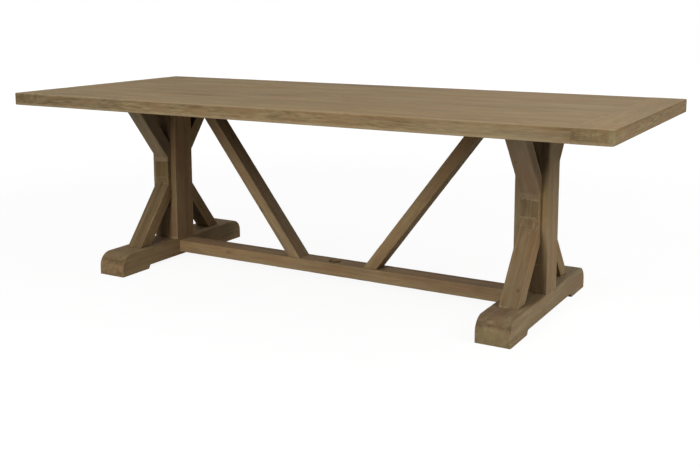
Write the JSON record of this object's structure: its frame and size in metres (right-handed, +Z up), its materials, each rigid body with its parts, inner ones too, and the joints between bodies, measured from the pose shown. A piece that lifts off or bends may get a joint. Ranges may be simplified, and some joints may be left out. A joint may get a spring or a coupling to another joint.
{
  "type": "trestle dining table",
  "caption": "Rustic trestle dining table: breadboard-ended plank top on braced trestles joined by a low stretcher with long braces, with a capped parasol hole.",
  "frame": {"origin": "on the floor under the middle of the top", "axes": "+X along the top, -Y the front long side, +Z up"},
  "size_m": [2.5, 1.04, 0.76],
  "materials": {
    "top_timber": "weathered reclaimed teak, brushed, left unoiled, matt",
    "frame_timber": "weathered reclaimed teak, sanded, matt",
    "dowel_timber": "turned hardwood, unfinished",
    "screw_steel": "zinc plated, dull"
  },
  "bodies": {
    "table": {"bearer_left": "frame_timber", "bearer_left_screws": "screw_steel", "bearer_right": "frame_timber", "bearer_right_screws": "screw_steel", "brace_cleat_left": "frame_timber", "brace_cleat_left_screws": "screw_steel", "brace_cleat_right": "frame_timber", "brace_cleat_right_screws": "screw_steel", "brace_foot_dowels_left": "dowel_timber", "brace_foot_dowels_right": "dowel_timber", "brace_head_dowels_left": "dowel_timber", "brace_head_dowels_right": "dowel_timber", "brace_left_back_lower": "frame_timber", "brace_left_back_upper": "frame_timber", "brace_left_front_lower": "frame_timber", "brace_left_front_upper": "frame_timber", "brace_right_back_lower": "frame_timber", "brace_right_back_upper": "frame_timber", "brace_right_front_lower": "frame_timber", "brace_right_front_upper": "frame_timber", "breadboard_end_left": "top_timber", "breadboard_end_right": "top_timber", "breadboard_pins": "dowel_timber", "foot_left": "frame_timber", "foot_right": "frame_timber", "long_brace_dowels": "dowel_timber", "long_brace_left": "frame_timber", "long_brace_right": "frame_timber", "middle_batten": "frame_timber", "middle_batten_screws": "screw_steel", "plank_1": "top_timber", "plank_2": "top_timber", "plank_3": "top_timber", "plank_4": "top_timber", "plank_5": "top_timber", "plank_6": "top_timber", "plank_7": "top_timber", "plank_8": "top_timber", "plank_splines": "dowel_timber", "post_dowels_left": "dowel_timber", "post_dowels_right": "dowel_timber", "post_left": "frame_timber", "post_right": "frame_timber", "stretcher": "frame_timber", "stretcher_pegs": "dowel_timber", "waist_block_left_back": "frame_timber", "waist_block_left_front": "frame_timber", "waist_block_right_back": "frame_timber", "waist_block_right_front": "frame_timber"},
    "parasol_cap": {"parasol_cap": "top_timber"}
  },
  "joints": [
    {"name": "cap_lift", "type": "slide", "parent": "table", "child": "parasol_cap", "axis": [0, 0, 1], "range_m": [0, 0.06]}
  ]
}
